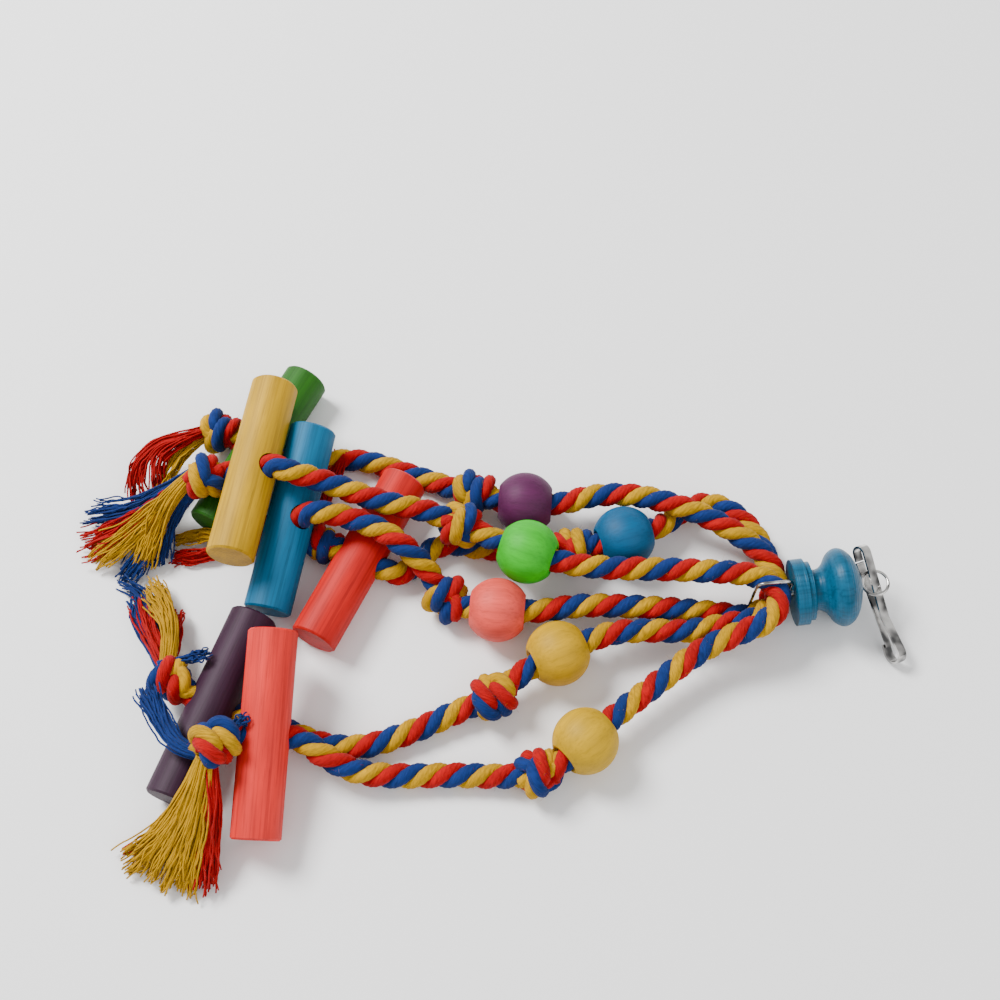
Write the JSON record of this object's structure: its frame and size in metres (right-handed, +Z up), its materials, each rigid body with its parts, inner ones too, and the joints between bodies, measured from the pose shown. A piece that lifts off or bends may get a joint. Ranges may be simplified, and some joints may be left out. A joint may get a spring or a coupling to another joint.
{
  "type": "parrot rope chew toy",
  "caption": "Parrot chew toy of three-colour cotton rope with dyed wooden beads and dowels, knots, frayed tassels, a turned knob and a snap hook, lying flat.",
  "frame": {"origin": "on the surface the toy lies on, below the middle of its whole outline", "axes": "+X from the tassels towards the knob and hook, +Y away from the front of the pile, +Z up"},
  "size_m": [0.2623, 0.177, 0.0335],
  "materials": {
    "cotton_rope": "matte",
    "nickel": "polished",
    "knob_wood": "satin",
    "bead_purple": "satin",
    "bead_green": "satin",
    "bead_coral": "satin",
    "bead_blue": "satin",
    "bead_yellow": "satin",
    "bead_lemon": "satin",
    "dowel_green": "satin",
    "dowel_yellow": "satin",
    "dowel_blue": "satin",
    "dowel_coral": "satin",
    "dowel_purple": "satin",
    "dowel_red": "satin"
  },
  "bodies": {
    "ropes": {"rope_green_lemon": "cotton_rope", "rope_purple_yellow": "cotton_rope", "rope_blue_coral": "cotton_rope", "rope_to_green_dowel": "cotton_rope", "rope_to_yellow_dowel": "cotton_rope", "rope_to_blue_dowel": "cotton_rope", "rope_to_coral_dowel": "cotton_rope", "rope_to_purple_dowel": "cotton_rope", "rope_to_red_dowel": "cotton_rope", "knot_purple_bead": "cotton_rope", "knot_green_bead": "cotton_rope", "knot_coral_bead": "cotton_rope", "knot_blue_bead": "cotton_rope", "knot_yellow_bead": "cotton_rope", "knot_lemon_bead": "cotton_rope", "knot_green_end": "cotton_rope", "knot_yellow_end": "cotton_rope", "knot_blue_end": "cotton_rope", "knot_coral_end": "cotton_rope", "knot_purple_end": "cotton_rope", "knot_red_end": "cotton_rope", "tassel_green": "cotton_rope", "tassel_yellow": "cotton_rope", "tassel_blue": "cotton_rope", "tassel_coral": "cotton_rope", "tassel_purple": "cotton_rope", "tassel_red": "cotton_rope", "eye_wire": "nickel"},
    "knob_part": {"knob": "knob_wood"},
    "hook": {"hook_body": "nickel"},
    "gate": {"hook_gate": "nickel"},
    "bead_purple_part": {"bead_purple": "bead_purple"},
    "bead_green_part": {"bead_green": "bead_green"},
    "bead_coral_part": {"bead_coral": "bead_coral"},
    "bead_blue_part": {"bead_blue": "bead_blue"},
    "bead_yellow_part": {"bead_yellow": "bead_yellow"},
    "bead_lemon_part": {"bead_lemon": "bead_lemon"},
    "dowel_green_part": {"dowel_green": "dowel_green"},
    "dowel_yellow_part": {"dowel_yellow": "dowel_yellow"},
    "dowel_blue_part": {"dowel_blue": "dowel_blue"},
    "dowel_coral_part": {"dowel_coral": "dowel_coral"},
    "dowel_purple_part": {"dowel_purple": "dowel_purple"},
    "dowel_red_part": {"dowel_red": "dowel_red"}
  },
  "joints": [
    {"name": "knob_spin", "type": "hinge", "parent": "ropes", "child": "knob_part", "pos_m": [0.0964, 0.0048, 0.0111], "axis": [0.9916, 0.0955, 0.0872], "continuous": true},
    {"name": "hook_swing", "type": "hinge", "parent": "ropes", "child": "hook", "pos_m": [0.12198, 0.00726, 0.01335], "axis": [-0.0868, -0.0084, 0.9962], "range_deg": [-18, 5]},
    {"name": "gate_spring", "type": "hinge", "parent": "hook", "child": "gate", "pos_m": [0.11825, 0.01434, 0.01239], "axis": [-0.8572, -0.4104, 0.3112], "range_deg": [0, 5], "stiffness_Nm_per_rad": 0.004},
    {"name": "bead_purple_spin", "type": "hinge", "parent": "ropes", "child": "bead_purple_part", "pos_m": [0.0131, 0.0364, 0.01], "axis": [0.9976, -0.0698, 0], "continuous": true},
    {"name": "bead_green_spin", "type": "hinge", "parent": "ropes", "child": "bead_green_part", "pos_m": [0.0136, 0.0158, 0.0179], "axis": [0.9397, -0.342, 0], "continuous": true},
    {"name": "bead_coral_spin", "type": "hinge", "parent": "ropes", "child": "bead_coral_part", "pos_m": [0.0042, -0.0005, 0.01], "axis": [0.9962, -0.0872, 0], "continuous": true},
    {"name": "bead_blue_spin", "type": "hinge", "parent": "ropes", "child": "bead_blue_part", "pos_m": [0.0446, 0.0243, 0.01], "axis": [0.9563, 0.2924, 0], "continuous": true},
    {"name": "bead_yellow_spin", "type": "hinge", "parent": "ropes", "child": "bead_yellow_part", "pos_m": [0.0228, -0.0148, 0.01], "axis": [0.9135, 0.4067, 0], "continuous": true},
    {"name": "bead_lemon_spin", "type": "hinge", "parent": "ropes", "child": "bead_lemon_part", "pos_m": [0.0305, -0.0424, 0.01], "axis": [0.7547, 0.6561, 0], "continuous": true},
    {"name": "dowel_green_turn", "type": "hinge", "parent": "ropes", "child": "dowel_green_part", "pos_m": [-0.0746, 0.0572, 0.0075], "axis": [0.891, -0.454, 0], "range_deg": [-1, 3]},
    {"name": "dowel_yellow_turn", "type": "hinge", "parent": "ropes", "child": "dowel_yellow_part", "pos_m": [-0.0729, 0.0416, 0.0242], "axis": [0.8188, -0.1297, 0.5592], "range_deg": [-1, 3]},
    {"name": "dowel_blue_turn", "type": "hinge", "parent": "ropes", "child": "dowel_blue_part", "pos_m": [-0.0618, 0.0296, 0.0129], "axis": [0.6304, -0.2558, 0.733], "range_deg": [-2, 0.5]},
    {"name": "dowel_coral_turn", "type": "hinge", "parent": "ropes", "child": "dowel_coral_part", "pos_m": [-0.0396, 0.018, 0.0078], "axis": [0.8946, -0.4344, -0.1045], "range_deg": [-30, 3]},
    {"name": "dowel_purple_turn", "type": "hinge", "parent": "ropes", "child": "dowel_purple_part", "pos_m": [-0.0822, -0.0306, 0.0075], "axis": [0.9088, -0.3272, -0.2588], "range_deg": [-1, 2]},
    {"name": "dowel_red_turn", "type": "hinge", "parent": "ropes", "child": "dowel_red_part", "pos_m": [-0.0646, -0.0415, 0.0148], "axis": [0.9301, 0.0363, -0.3656], "range_deg": [-4, 26]}
  ]
}
